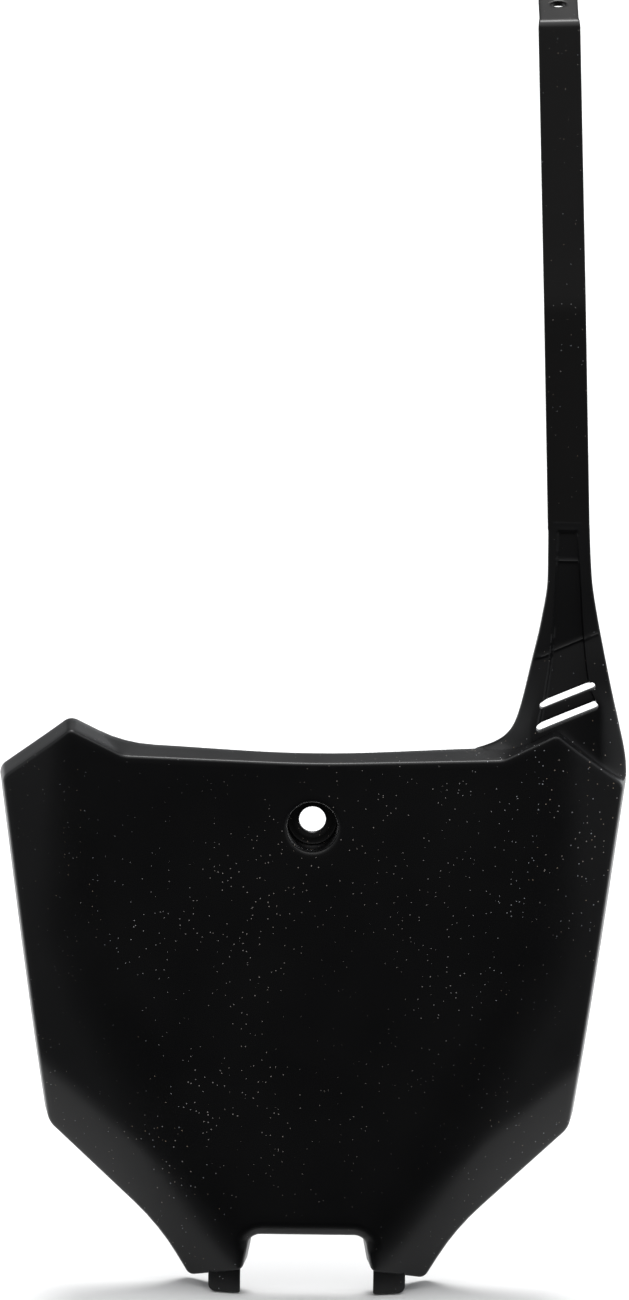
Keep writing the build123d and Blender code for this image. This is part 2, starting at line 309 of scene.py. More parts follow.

# %% [markdown]
# ## Satin black polypropylene
# The real material is polypropylene coloured black in the melt and moulded against a
# satin steel tool.  Its refractive index is about 1.49, it has no metallic or clear
# layer, and the fine tool grain blurs its reflections, so the eye sees a deep black
# that turns grey where the surface faces a light.  Fine pale specks of dust and flow
# marks sit in the grain.  The real part's handled edges are a little smoother than the
# flats; this material gives its edges no roughness of their own.

# %% Moulded polypropylene
def moulded_polypropylene(name, colour, speck_share, roughness):
    """Black moulded plastic: tool grain, flow marks, specks and a slight sheen change."""
    material = bpy.data.materials.new(name)
    material.use_nodes = True
    tree = material.node_tree
    tree.nodes.clear()
    place = add_node(tree, "ShaderNodeTexCoord").outputs["Object"]
    # tool grain of about 0.35 mm, and slow flow marks of about 40 mm
    grain = add_node(tree, "ShaderNodeTexNoise", {"Vector": place, "Scale": 1 / (0.35 * MM),
                                                  "Detail": 2.0, "Roughness": 0.6})
    flow = add_node(tree, "ShaderNodeTexNoise", {"Vector": place, "Scale": 1 / (40 * MM),
                                                 "Detail": 3.0, "Roughness": 0.55})
    # specks of 0.3 mm, drawn as points of a cell pattern, thicker in some clouds
    cells = add_node(tree, "ShaderNodeTexVoronoi", {"Vector": place, "Scale": 1 / (1.6 * MM),
                                                    "Randomness": 1.0})
    cloud = add_node(tree, "ShaderNodeTexNoise", {"Vector": place, "Scale": 1 / (70 * MM),
                                                  "Detail": 2.0})
    size = add_node(tree, "ShaderNodeMapRange", {"Value": cloud.outputs["Fac"], "From Min": 0.38,
                                                 "From Max": 0.62, "To Min": 0.05,
                                                 "To Max": 0.05 + 0.09 * speck_share})
    speck = add_node(tree, "ShaderNodeMath", {0: cells.outputs["Distance"],
                                              1: size.outputs["Result"]}, operation="LESS_THAN")
    tone = add_node(tree, "ShaderNodeSeparateColor", {"Color": cells.outputs["Color"]})
    bright = add_node(tree, "ShaderNodeMath", {0: tone.outputs["Red"], 1: 0.55},
                      operation="GREATER_THAN")
    dust = add_node(tree, "ShaderNodeMath", {0: speck.outputs[0], 1: bright.outputs[0]},
                    operation="MULTIPLY")
    base = add_node(tree, "ShaderNodeMix", {0: flow.outputs["Fac"], 6: linear(colour[0]),
                                            7: linear(colour[1])}, data_type="RGBA")
    speck_tone = add_node(tree, "ShaderNodeMix", {0: tone.outputs["Green"],
                                                  6: linear("B09C86"), 7: linear("C4CAD4")},
                          data_type="RGBA")
    shade = add_node(tree, "ShaderNodeMix", {0: dust.outputs[0], 6: base.outputs[2],
                                             7: speck_tone.outputs[2]}, data_type="RGBA")
    gloss = add_node(tree, "ShaderNodeMapRange", {"Value": flow.outputs["Fac"], "From Min": 0.3,
                                                  "From Max": 0.7, "To Min": roughness - 0.03,
                                                  "To Max": roughness + 0.04})
    relief = add_node(tree, "ShaderNodeBump", {"Height": grain.outputs["Fac"], "Strength": 0.12,
                                               "Distance": 0.04 * MM})
    body = add_node(tree, "ShaderNodeBsdfPrincipled", {"Base Color": shade.outputs[2],
                                                       "Roughness": gloss.outputs["Result"],
                                                       "Normal": relief.outputs["Normal"],
                                                       "Specular IOR Level": 0.36,
                                                       "IOR": 1.49})
    add_node(tree, "ShaderNodeOutputMaterial", {"Surface": body.outputs["BSDF"]})
    print(name, "has", len(tree.nodes), "nodes")
    return material


plate_finish = moulded_polypropylene("satin_black_polypropylene", ("08080A", "0E0E0F"), 1.0, 0.36)
# painted light: the strap is the same moulding as the plate, so its lighter, warmer base colours
# are painted brightness for the strap's leaning faces; its smoother sheen and fewer dust specks are
# its own
strap_finish_painted_lighter = moulded_polypropylene("smooth_black_polypropylene_painted_lighter", ("0B0A0A", "100F0F"), 0.5, 0.34)

# %% [markdown]
# ## The outline of the plate
# The plate is shaped like a shield: two shoulders, straight sides that draw in a
# little, diagonals to a narrow foot, and a notch between two feet.  Its corners are
# listed once, for the right half, with the radius that the mould gives each of them.
# Mirroring the list in code keeps both halves the same.

# %% Corners of the outline
half_outline = [                # x, z and corner radius on the front edge of the face
    (72.5, 27.0, 9.0),          # dip beside the shoulder slope
    (92.8, 37.0, 3.0),          # shoulder apex
    (118.8, 15.3, 4.0),         # shoulder corner
    (100.5, -124.8, 8.0),       # hip
    (57.2, -163.4, 85.0),       # shin, a slow turn
    (45.5, -183.4, 2.7),        # foot, outside
    (24.9, -177.0, 2.7),        # foot, inside
    (22.3, -162.8, 5.0),        # corner of the notch
]
outline_corners = [(0.0, 24.8, 500.0)]
outline_corners += [(-x, z, radius) for x, z, radius in half_outline]
outline_corners += [(x, z, radius) for x, z, radius in reversed(half_outline)]
print("outline of", len(rounded_loop(outline_corners)), "points")

# %% [markdown]
# ## The folded face
# The centre panel is nearly flat.  Both wings and both lower facets sweep back from it
# in soft bends, and a small bevel runs round the notch.  A function gives how far the
# face lies behind its foremost plane at any place.  Planes are joined by a rounded
# maximum, because that gives a bend whose width is one number.

# %% Depth of the face
wing_slope = math.tan(math.radians(25))
upper_bend = ((93.5, 37.0), (88.0, -50.0))
lower_bend = ((88.0, -50.0), (30.0, -172.0))
facet_crease = ((102.0, -98.0), (34.0, -150.0))
facet_slope = 0.25
crown = 0.8
notch_top, notch_half, notch_round = -162.8, 22.3, 5.0
bevel_slope = math.tan(math.radians(38))


def notch_distance(x, z):
    """Distance from the edge of the notch, outside it."""
    side = np.abs(x) - (notch_half - notch_round) - np.clip(notch_top - z, 0, None) * 0.174
    up = z - (notch_top - notch_round)
    corner = np.hypot(np.clip(side, 0, None), np.clip(up, 0, None))
    return corner + np.minimum(np.maximum(side, up), 0) - notch_round


def face_depth(x, z):
    """How far the face lies behind its foremost plane, in millimetres."""
    x = np.abs(x)
    upper = wing_slope * beyond(x, z, *upper_bend)
    lower = wing_slope * beyond(x, z, *lower_bend)
    wing = smooth_max(upper, lower, 5.0)
    facet = lower + facet_slope * beyond(x, z, *facet_crease)
    wing = smooth_max(wing, facet, 0.9)
    softness = np.interp(z, [-40.0, 37.0], [7.0, 2.5])
    depth = smooth_max(crown * (x / 90) ** 2, wing, softness)
    distance = np.clip(notch_distance(x, z), 0, None)
    width = 1.5 + 3.0 * smooth_step(z, notch_top - 7, notch_top - 2)
    return depth + bevel_slope * smooth_max(0 * x, width - distance, 0.8)


for spot in ((0, 0), (110, 0), (98, -118), (40, -160), (0, -159)):
    print("depth at", spot, "is", round(float(face_depth(np.array(spot[0]), np.array(spot[1]))), 2))

# %% [markdown]
# ## The plate shell
# The shell is 2.5 mm thick with a drafted rim about 15 mm deep, lower along the dip at
# the top.  The bolt cup is part of the same skin.  The piece is one closed mesh: the
# front and back faces are triangulated inside the outline, and bands of quads make
# the rounded edge, the rim, the wall of the cup and its floor.

# %% Bands and skins of the shell
wall = 2.5
edge_round = 1.0
back_round = 0.7
inner_round = 1.5
outer_run, inner_run = 13, 10.4
dip_radius, dip_flare = 9.0, 44.0
draft = math.tan(math.radians(6.5))
rim_deep = 14.4
ARC = 5


def depth_of(loop):
    """Depth of the rim at each point of a loop: lower along the dip between the shoulders."""
    dip = 1 - smooth_step(np.abs(loop[:, 0]), 12.0, 70.0)
    return 15.4 - 4.0 * dip * (loop[:, 1] > 0)


def plate_ring(inset, back, least=0.4, share=0.0):
    """One closed ring of the rim: an inset outline, set back behind the face there.

    The corners of the dip open out from the face (share 0) to the back edge (share 1).
    """
    corners = [(x, z, radius + dip_flare * share * (radius == dip_radius))
               for x, z, radius in outline_corners]
    loop = rounded_loop(corners, inset, least)
    y = face_y + face_depth(loop[:, 0], loop[:, 1]) + back(loop)
    return np.stack([loop[:, 0], y, loop[:, 1]], 1)


def plate_rings():
    """The rim from the front skin's border, round the back edge, to the back skin's."""
    made = []
    for turn in np.linspace(0, math.pi / 2, ARC + 1):
        back = edge_round * (1 - math.cos(turn))
        made.append(plate_ring(edge_round * (1 - math.sin(turn)) - draft * back,
                               lambda loop, b=back: b))
    for share in (0.25, 0.5, 0.75, 1.0):
        made.append(plate_ring(
            -draft * (edge_round + share * outer_run),
            lambda loop, s=share: edge_round + s * (depth_of(loop) - back_round - edge_round),
            share=share))
    for turn in (math.pi / 6, math.pi / 3, math.pi / 2):
        made.append(plate_ring(
            -draft * rim_deep + back_round * (1 - math.cos(turn)),
            lambda loop, t=turn: depth_of(loop) - back_round * (1 - math.sin(t)), share=1.0))
    for turn in (math.pi / 6, math.pi / 3, math.pi / 2):
        made.append(plate_ring(
            wall - draft * rim_deep - back_round * (1 - math.sin(turn)),
            lambda loop, t=turn: depth_of(loop) - back_round * (1 - math.cos(t)), 1.0, 1.0))
    deep = wall + inner_round
    for share in (0.75, 0.5, 0.25, 0.0):
        made.append(plate_ring(
            wall - draft * (deep + share * inner_run),
            lambda loop, s=share: deep + s * (depth_of(loop) - back_round - deep), 1.0, share))
    for turn in np.linspace(0, math.pi / 2, ARC + 1)[1:]:
        back = wall + inner_round * (1 - math.sin(turn))
        made.append(plate_ring(wall + inner_round * (1 - math.cos(turn)) - draft * back,
                               lambda loop, b=back: b, 1.0))
    return made


cup_mouth, cup_depth, cup_wall, bolt_hole = 9.75, 12.5, 2.5, 5.1
lip, cup_fillet = 1.5, 0.9
RING = 96


def ring_at(radius, back):
    """One ring of the cup round the bolt hole."""
    turn = np.linspace(0, 2 * math.pi, RING, endpoint=False)
    x, z = radius * np.cos(turn), radius * np.sin(turn)
    return np.stack([x, face_y + face_depth(x, z) + back, z], 1)


def cup_profile():
    """(radius, depth) rows from the lip down to the floor, and back up behind it."""
    rows = [(cup_mouth + lip * (1 - math.sin(t)), lip * (1 - math.cos(t)))
            for t in np.linspace(0, math.pi / 2, 8)]
    rows += [(cup_mouth, cup_depth * share) for share in (0.4, 0.7)]
    rows += [(cup_mouth - cup_fillet * (1 - math.cos(t)),
              cup_depth - cup_fillet * (1 - math.sin(t))) for t in np.linspace(0, math.pi / 2, 5)]
    rows += [(7.4, cup_depth), (bolt_hole + 0.35, cup_depth), (bolt_hole, cup_depth + 0.35)]
    rows += [(bolt_hole, cup_depth + wall - 0.35), (bolt_hole + 0.35, cup_depth + wall)]
    outer = cup_mouth + cup_wall
    rows += [(outer - 0.6 * (1 - math.sin(t)), cup_depth + wall - 0.6 * (1 - math.cos(t)))
             for t in np.linspace(0, math.pi / 2, 4)]
    rows += [(outer, 9.0), (outer, 6.0)]
    rows += [(outer + 1.0 * (1 - math.cos(t)), wall + 1.0 * (1 - math.sin(t)))
             for t in np.linspace(0, math.pi / 2, 5)]
    return rows


def plate_shell():
    shell = Shell()
    rings = plate_rings()
    cup = [ring_at(radius, back) for radius, back in cup_profile()]
    shell.bands(rings)
    shell.bands(cup)
    for border, hole, back, first, spacing in ((rings[0], cup[0], 0.0, edge_round, 2.2),
                                               (rings[-1], cup[-1], wall, 4.0, 3.2)):
        guides = [rounded_loop(outline_corners, first + extra) for extra in (0.8, 1.9, 3.4, 5.2)]
        radius = np.hypot(hole[0][0], hole[0][2])
        turn = np.linspace(0, 2 * math.pi, RING, endpoint=False)[:, None]
        circle = np.hstack([np.cos(turn), np.sin(turn)])
        guides += [circle * (radius + extra) for extra in (0.7, 1.6, 3.0)]
        points, faces = triangulated(border[:, [0, 2]], [hole[:, [0, 2]]], guides, spacing)
        y = face_y + face_depth(points[:, 0], points[:, 1]) + back
        shell.skin(np.stack([points[:, 0], y, points[:, 1]], 1), faces)
    return shell.piece("plate_shell", plate_finish)


plate = plate_shell()
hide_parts("face_shell", "bolt_cup")
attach(plate, "plate")

# %% [markdown]
# ## The prongs
# Two flat tabs under the foot drop into the guard below and locate the plate.  They are
# 4 mm thick, with one rounded corner each.  They lie just behind the skin of the foot
# and slant a little with it, so that the foot's lower edge passes in front of them.  An
# outline is filled front and back and joined by rounded bands.

# %% Prongs
prong_foot_z = -176.5
prong_set_back = 1.0
prong_slant = 0.35
prong_top = 14.0
prong_round = 0.5


def flat_rings(loop_at, front, back, round_by, place):
    """Rings round a plate's edge, from its front border to its back border."""
    rings = []
    for k in range(4):
        turn = math.pi / 2 * k / 3
        rings.append(place(loop_at(round_by * (1 - math.sin(turn))),
                           front + round_by * (1 - math.cos(turn))))
    for k in range(4):
        turn = math.pi / 2 * k / 3
        rings.append(place(loop_at(round_by * (1 - math.cos(turn))),
                           back - round_by * (1 - math.sin(turn))))
    return rings


def prong(name, side):
    """A tab from inside the foot down to the prong's lower end, slanted like the foot."""
    low, high = (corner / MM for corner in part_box(name))
    top = low.z + prong_top
    prong_thick = high.y - low.y
    inner, outer = (low.x, high.x) if side > 0 else (high.x, low.x)
    corners = [(inner, top, 0.6), (inner, low.z, 0.9), (outer, low.z, 2.8), (outer, top, 0.6)]
    if side < 0:
        corners.reverse()

    def place(loop, back):
        deepest = face_depth(np.array(abs(outer)), np.array(prong_foot_z))
        here = face_depth(loop[:, 0], np.full(len(loop), prong_foot_z))
        skin = face_y + deepest - prong_slant * (deepest - here)
        return np.stack([loop[:, 0], skin + prong_set_back + back, loop[:, 1]], 1)

    tab = Shell()
    rings = flat_rings(lambda inset: rounded_loop(corners, inset, 0.25), 0.0, prong_thick,
                       prong_round, place)
    tab.bands(rings)
    for ring, back in ((rings[0], 0.0), (rings[-1], prong_thick)):
        points, faces = triangulated(ring[:, [0, 2]], [], [], 1.6)
        tab.skin(place(points, back), faces)
    piece = tab.piece(name + "_tab", plate_finish)
    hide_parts(name)
    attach(piece, "plate")
    return piece


for prong_name, prong_side in (("left_prong", -1), ("right_prong", 1)):
    print(prong_name, "tab has", len(prong(prong_name, prong_side).data.vertices), "points")

# %% [markdown]
# ## The root of the strap
# The strap grows out of the right shoulder through a stiff root.  The root flares to
# both sides, its flanks slope back to the rim, and two slots take the strap's tip.  A
# shallow channel keeps it from sinking in the mould.  The channel's floor rises towards
# the strap and ends in a small step.  The root is a height field: an outline
# with two holes is filled with triangles and pushed back by a depth function, so that
# every line of the real part is one term of that function.

# %% Depth of the root
root_set_back = 5.0
wedge_tip = 59.5
apex_x, apex_z = 92.8, 37.0
shoulder_end = (118.8, 15.3)
fillet_rise = 1.6
root_left = [(27.0, 58.6), (28.6, 64.0), (31.7, 70.8), (34.9, 74.2), (38.0, 76.2), (41.3, 77.5),
             (47.5, 79.3), (63.3, 83.0), (79.2, 86.4), (95.0, 88.5), (110.8, 88.4), (122.0, 88.0)]
root_right = [(16.9, 120.1), (23.0, 119.8), (29.3, 118.8), (35.6, 117.4), (41.9, 116.0),
              (48.2, 114.5), (63.9, 111.1), (79.5, 107.9), (95.2, 105.4), (111.0, 104.4),
              (122.0, 104.0)]
left_rib = [(17, 84.0), (37, 83.7), (51.5, 86.5), (68, 88.8), (90.4, 90.0), (113.4, 91.0),
            (122, 91.2)]
right_rib = [(17, 110.0), (46, 109.1), (54.8, 106.0), (74.9, 103.5), (92.9, 102.2), (113.4, 100.6),
             (122, 100.2)]
left_back = [(17, 12.0), (28, 10.5), (37, 6.4), (45, 4.2), (53, 2.8), (69, 1.3), (93, 0.4),
             (122, 0.1)]
right_tilt = [(17, 8.0), (37, 5.2), (53, 2.0), (69, 0.2), (93, 0.0), (122, 0.0)]
right_back = [(17, 6.8), (37, 4.6), (53, 2.6), (69, 1.2), (93, 0.4), (122, 0.1)]
left_wall_width = [(37, 2.6), (68, 1.6), (113.4, 0.7), (122, 0.7)]
channel_deep = 2.2
lower_line, upper_line = 101.9, 113.4
crease_left, crease_right = (85.0, 64.5), (108.5, 74.2)
low_lean, high_lean = math.radians(15), math.radians(4)
crease_rise, crease_middle, crease_twist = 32, (97.2, 69.5), 0.0817
rib_thick, top_thick, flank_thinning = 4.6, 2.3, 2.2
slot_tilt = math.radians(21)
slot_middle = (96.7, 46.5)
slot_wide, slot_rise = 2.7, 8.06
slot_lengths = {0.5: 22.5, -0.5: 25.0}


def lean_back(x, z):
    """The root leans 15 degrees up to a slanted crease and 4 degrees above it."""
    low_plane = math.tan(low_lean) * smooth_max(z - apex_z, 0 * z, 14.0)
    twist = crease_twist * (1 - smooth_step(z, 74.0, 116.0))
    high_plane = (math.tan(low_lean) * crease_rise
                  + math.tan(high_lean) * (z - crease_middle[1]) + twist * (x - crease_middle[0]))
    return -smooth_max(-low_plane, -high_plane, 0.25)


def across_slots(x, z):
    """Height above the middle of the pair of slots, square to them."""
    return ((z - slot_middle[1]) * math.cos(slot_tilt) - (x - slot_middle[0]) * math.sin(slot_tilt))


def channel_depth(x, z):
    """The sunk channel between the ribs: sloping left wall, rising floor, a step at its top."""
    wall_left = follow(z, left_rib) + 0.9
    wall_right = follow(z, right_rib) - 0.9
    from_left = smooth_step(x, wall_left, wall_left + follow(z, left_wall_width))
    from_right = 1 - smooth_step(x, wall_right - 0.6, wall_right)
    deep = np.interp(z, [70.0, lower_line, upper_line], [channel_deep, 1.0, 0.7])
    deep = deep * (1 - smooth_step(z, upper_line - 0.35, upper_line + 0.35))
    foot = smooth_step(across_slots(x, z), -slot_rise / 2 - 1.1, -slot_rise / 2 + 0.7)
    return deep * from_left * from_right * foot


def bead(distance, width=0.45):
    """Cross-section of a thin raised line."""
    return np.exp(-(distance / width) ** 2)


def root_lines(x, z):
    """Thin raised lines where inserts of the mould meet."""
    within = (smooth_step(x, follow(z, left_rib) + 0.6, follow(z, left_rib) + 1.6)
              * (1 - smooth_step(x, follow(z, right_rib) - 1.6, follow(z, right_rib) - 0.6)))
    lines = within * (bead(z - upper_line) + bead(z - lower_line))
    crease = beyond(x, z, crease_left, crease_right)
    crease = crease - 1.2 * np.clip((crease_left[0] + 1.5 - x) / 6, 0, 1)
    return 0.36 * lines + 0.4 * bead(crease)


def root_depth(x, z, sunk=True):
    """How far the root's surface lies behind the foremost plane of the face."""
    left, right = follow(z, root_left), follow(z, root_right)
    rib_left, rib_right = follow(z, left_rib), follow(z, right_rib)
    left_share = np.clip((rib_left - x) / (rib_left - left), 0, 1.3)
    right_share = np.clip((x - rib_right) / (right - rib_right), 0, 1.3)
    middle = np.clip((x - rib_left) / (rib_right - rib_left), 0, 1)
    depth = root_set_back + lean_back(x, z) + follow(z, left_back) * left_share ** 1.25
    depth += follow(z, right_tilt) * middle + follow(z, right_back) * right_share ** 1.2
    if sunk:
        depth = depth + channel_depth(x, z) - root_lines(x, z)
        above = np.clip(beyond(x, z, (apex_x, apex_z), shoulder_end) + 0.5, 0, None)
        depth = depth - fillet_rise * np.exp(-above / 0.8) * smooth_step(x, apex_x, apex_x + 3)
    return depth


def root_thickness(x, z):
    """4.6 mm at the ribs, thinner at the left flank and up into the strap."""
    left, rib_left = follow(z, root_left), follow(z, left_rib)
    flank = np.clip((rib_left - x) / (rib_left - left), 0, 1)
    high = smooth_step(z, 93, 117)
    low = 1 - smooth_step(z, 40, 60)
    return rib_thick * (1 - high) + top_thick * high - flank_thinning * flank * low


for z in (30, 60, 90, 116):
    row = root_depth(np.array([80.0, 92, 98, 104, 112]), np.full(5, float(z)))
    print("root at z", z, "lies back", [round(float(depth), 2) for depth in row])


# %% Root mesh
def resampled(points, step):
    """The same line with evenly spaced points."""
    points = np.array(points, float)
    run = np.concatenate([[0], np.cumsum(np.hypot(*np.diff(points, axis=0).T))])
    at = np.linspace(0, run[-1], max(2, round(run[-1] / step) + 1))
    return np.stack([np.interp(at, run, points[:, 0]), np.interp(at, run, points[:, 1])], 1)


def root_outline():
    """The root in front view: along inside the rim, up the right, over, down the left."""
    rim = rounded_loop(outline_corners, 0.5)
    rim = rim[(rim[:, 0] > 60.5) & (rim[:, 1] > 14.6)][::-1]
    heights = np.linspace(15.6, 117.5, 80)
    right = np.stack([follow(heights, root_right), heights], 1)
    heights = np.linspace(117.5, 27.6, 90)
    left = np.stack([follow(heights, root_left), heights], 1)
    loop = resampled(np.vstack([rim, right, left, rim[:1]]), 1.0)[:-1]
    for _ in range(3):
        loop = (np.roll(loop, 1, axis=0) + 2 * loop + np.roll(loop, -1, axis=0)) / 4
    return loop


def moved_in(loop, distance):
    """A loop moved inwards, less so in the narrow wedge at the left end of the root."""
    before = loop - np.roll(loop, 1, axis=0)
    after = np.roll(loop, -1, axis=0) - loop
    along = before / np.hypot(*before.T)[:, None] + after / np.hypot(*after.T)[:, None]
    along /= np.hypot(*along.T)[:, None]
    share = np.clip((loop[:, 0] - wedge_tip) / 6.0, 0.1, 1.0)[:, None]
    return loop + distance * share * np.stack([-along[:, 1], along[:, 0]], 1)


def slot_loop(step, grow):
    """A slot with round ends, grown outwards all round."""
    centre = np.array([slot_middle[0], slot_middle[1] + step * slot_rise])
    half = (slot_lengths[step] - slot_wide) / 2
    radius = slot_wide / 2 + grow
    along = np.array([math.cos(slot_tilt), math.sin(slot_tilt)])
    up = np.array([-along[1], along[0]])
    loop = []
    for sign in (1, -1):
        for turn in np.linspace(-math.pi / 2, math.pi / 2, 13):
            loop.append(centre + sign * (along * (half + radius * math.cos(turn))
                                         + up * radius * math.sin(turn)))
        for k in range(1, 24):
            loop.append(centre + sign * (up * radius + along * half * (1 - 2 * k / 24)))
    return np.array(loop)


def on_root(loop, back, behind=False):
    """Places a loop on the root's front or back surface, set back from it."""
    x, z = loop.T
    y = face_y + root_depth(x, z, sunk=not behind) + back
    if behind:
        y = y + root_thickness(x, z)
    return np.stack([x, y, z], 1)


def strap_root():
    outline = root_outline()
    edge, slot_edge = 0.7, 0.4
    rings, slots = [], {step: [] for step in slot_lengths}
    for behind in (False, True):
        for k in range(5):
            turn = math.pi / 2 * (k if not behind else 4 - k) / 4
            out, back = 1 - math.sin(turn), 1 - math.cos(turn)
            sign = -1 if behind else 1
            rings.append(on_root(moved_in(outline, edge * out), sign * edge * back, behind))
            for step in slots:
                slots[step].append(on_root(slot_loop(step, slot_edge * out),
                                           sign * slot_edge * back, behind))
    root = Shell()
    root.bands(rings)
    for step in slots:
        root.bands(slots[step])
    steps = np.linspace(36, 116, 120)
    guides = [np.stack([follow(steps, left_rib) + shift, steps], 1) for shift in (-0.7, 0.3, 0.9)]
    guides += [np.stack([follow(steps, left_rib) + 0.9 + follow(steps, left_wall_width), steps], 1)]
    guides += [np.stack([follow(steps, right_rib) + shift, steps], 1)
               for shift in (-1.5, -0.9, -0.3, 0.7)]
    wide = np.linspace(80, 116, 60)
    crease_slope = (crease_right[1] - crease_left[1]) / (crease_right[0] - crease_left[0])
    for shift in (-1.2, -0.6, 0, 0.6, 1.2):
        guides += [np.stack([wide, 0 * wide + line + shift], 1)
                   for line in (lower_line, upper_line)]
        crease = crease_left[1] + (wide - crease_left[0]) * crease_slope + shift
        guides += [np.stack([wide, crease], 1)]
    for shift in (0.1, 0.6, 1.1, 1.7, 2.4):
        guides += [np.stack([np.linspace(apex_x, shoulder_end[0], 40) + shift * 0.64,
                             np.linspace(apex_z, shoulder_end[1], 40) + shift * 0.77], 1)]
    for ring, holes, behind, spacing, lines in ((rings[0], 0, False, 0.75, guides),
                                                (rings[-1], -1, True, 1.5, [])):
        openings = [slots[step][holes][:, [0, 2]] for step in slots]
        points, faces = triangulated(ring[:, [0, 2]], openings,
                                     [moved_in(outline, edge + 0.6)] + lines, spacing)
        root.skin(on_root(points, 0.0, behind), faces)
    return root.piece("strap_root_flare", plate_finish)


root_piece = strap_root()
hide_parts("strap_root")
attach(root_piece, "plate")


# %% [markdown]
# ## The strap
# The strap is one flexible band, 16 mm wide and 2.3 mm thick.  It leans back a little,
# takes a soft moulded bend a third of the way up, and ends in a sharp crease at the
# tip.  A band that follows a line is a rule, so Geometry Nodes make it: a line with
# rounded corners, cut to the stretch that one piece covers, and swept with a rounded
# section.  The frame has a hinge in each stretch, so the band is cut halfway between
# hinges, and each piece spans its own hinge.

# %% The strap's line
hinges = [np.array(joint["pos_m"]) / MM for joint in frame["joints"]]
strap_across = -np.array(frame["joints"][0]["axis"])
strap_across = strap_across / np.linalg.norm(strap_across)
strap_up = np.array([-strap_across[2], 0.0, strap_across[0]])
strap_tilt_angle = math.atan2(strap_across[2], strap_across[0])
strap_wide, strap_thick = 16.0, 2.3
tip_long, tip_wide = 24.0, 15.0
last_up = (hinges[7] - hinges[6]) / np.linalg.norm(hinges[7] - hinges[6])
tip_fold_angle = math.radians(62)
tip_normal = np.cross(strap_across, last_up)
tip_along = last_up * math.cos(tip_fold_angle) - tip_normal * math.sin(tip_fold_angle)
if tip_along[1] < 0:
    tip_along = last_up * math.cos(tip_fold_angle) + tip_normal * math.sin(tip_fold_angle)


def side_view(point):
    """A point of the line as (depth, height) from the first hinge, in the strap's own plane."""
    away = point - hinges[0]
    return float(away[1]), float(away @ strap_up)


first_up = (hinges[1] - hinges[0]) / np.linalg.norm(hinges[1] - hinges[0])
foot_length, run_on = 6.0, 20.0
strap_start = hinges[0] - first_up * foot_length
line_points = [strap_start, hinges[3], hinges[7], hinges[7] + last_up * run_on]
pitch = float(np.linalg.norm(hinges[1] - hinges[0]))
print("strap line through", [tuple(round(v, 2) for v in side_view(p)) for p in line_points])


# %% Geometry Nodes tree of the strap
def strap_tree(finish):
    """Sweeps a rounded section along the line; Start and End cut out one stretch."""
    tree = bpy.data.node_groups.new("strap_band", "GeometryNodeTree")
    face = tree.interface
    face.new_socket("Line", in_out="INPUT", socket_type="NodeSocketGeometry")
    for name, value in (("Width", 0.016), ("Thickness", 0.0023), ("Edge Radius", 0.0006),
                        ("Bend Radius", 0.03), ("Start", 0.0), ("End", 0.02), ("Step", 0.0015)):
        socket = face.new_socket(name, in_out="INPUT", socket_type="NodeSocketFloat")
        socket.default_value = value
    tilt = face.new_socket("Tilt", in_out="INPUT", socket_type="NodeSocketFloat")
    tilt.default_value = 0.0
    face.new_socket("Foot", in_out="INPUT", socket_type="NodeSocketVector")
    face.new_socket("Band", in_out="OUTPUT", socket_type="NodeSocketGeometry")
    given = add_node(tree, "NodeGroupInput").outputs
    bent = add_node(tree, "GeometryNodeFilletCurve", {"Curve": given["Line"], "Count": 14,
                                                      "Radius": given["Bend Radius"]}, mode="POLY")
    stretch = add_node(tree, "GeometryNodeTrimCurve", {"Curve": bent.outputs[0]}, mode="LENGTH")
    for name in ("Start", "End"):
        socket = [s for s in stretch.inputs if s.name == name and s.enabled][-1]
        tree.links.new(given[name], socket)
    even = add_node(tree, "GeometryNodeResampleCurve", {"Curve": stretch.outputs[0],
                                                        "Length": given["Step"]}, mode="LENGTH")
    box = add_node(tree, "GeometryNodeCurvePrimitiveQuadrilateral",
                   {"Width": given["Width"], "Height": given["Thickness"]})
    section = add_node(tree, "GeometryNodeFilletCurve",
                       {"Curve": box.outputs[0], "Count": 4, "Radius": given["Edge Radius"]},
                       mode="POLY")
    fine = add_node(tree, "GeometryNodeSubdivideCurve", {"Curve": section.outputs[0], "Cuts": 3})
    band = add_node(tree, "GeometryNodeCurveToMesh", {"Curve": even.outputs[0],
                                                      "Profile Curve": fine.outputs[0],
                                                      "Fill Caps": True})
    turned = add_node(tree, "ShaderNodeCombineXYZ", {"Y": given["Tilt"]})
    placed = add_node(tree, "GeometryNodeTransform", {"Geometry": band.outputs[0],
                                                      "Translation": given["Foot"],
                                                      "Rotation": turned.outputs[0]})
    real = add_node(tree, "GeometryNodeRealizeInstances", {"Geometry": placed.outputs[0]})
    painted = add_node(tree, "GeometryNodeSetMaterial", {"Geometry": real.outputs[0],
                                                         "Material": finish})
    add_node(tree, "NodeGroupOutput", {0: painted.outputs[0]})
    return tree


band_tree = strap_tree(strap_finish_painted_lighter)
print("strap tree has", len(band_tree.nodes), "nodes")


# %% One stretch of the strap
def strap_line():
    """The strap's line as a curve object, in the upright plane, with sharp corners."""
    data = bpy.data.curves.new("strap_line", "CURVE")
    data.dimensions = "3D"
    spline = data.splines.new("POLY")
    spline.points.add(len(line_points) - 1)
    for target, point in zip(spline.points, line_points):
        depth, height = side_view(point)
        target.co = (0.0, depth * MM, height * MM, 1.0)
    line = bpy.data.objects.new("strap_line", data)
    bpy.context.scene.collection.objects.link(line)
    return line


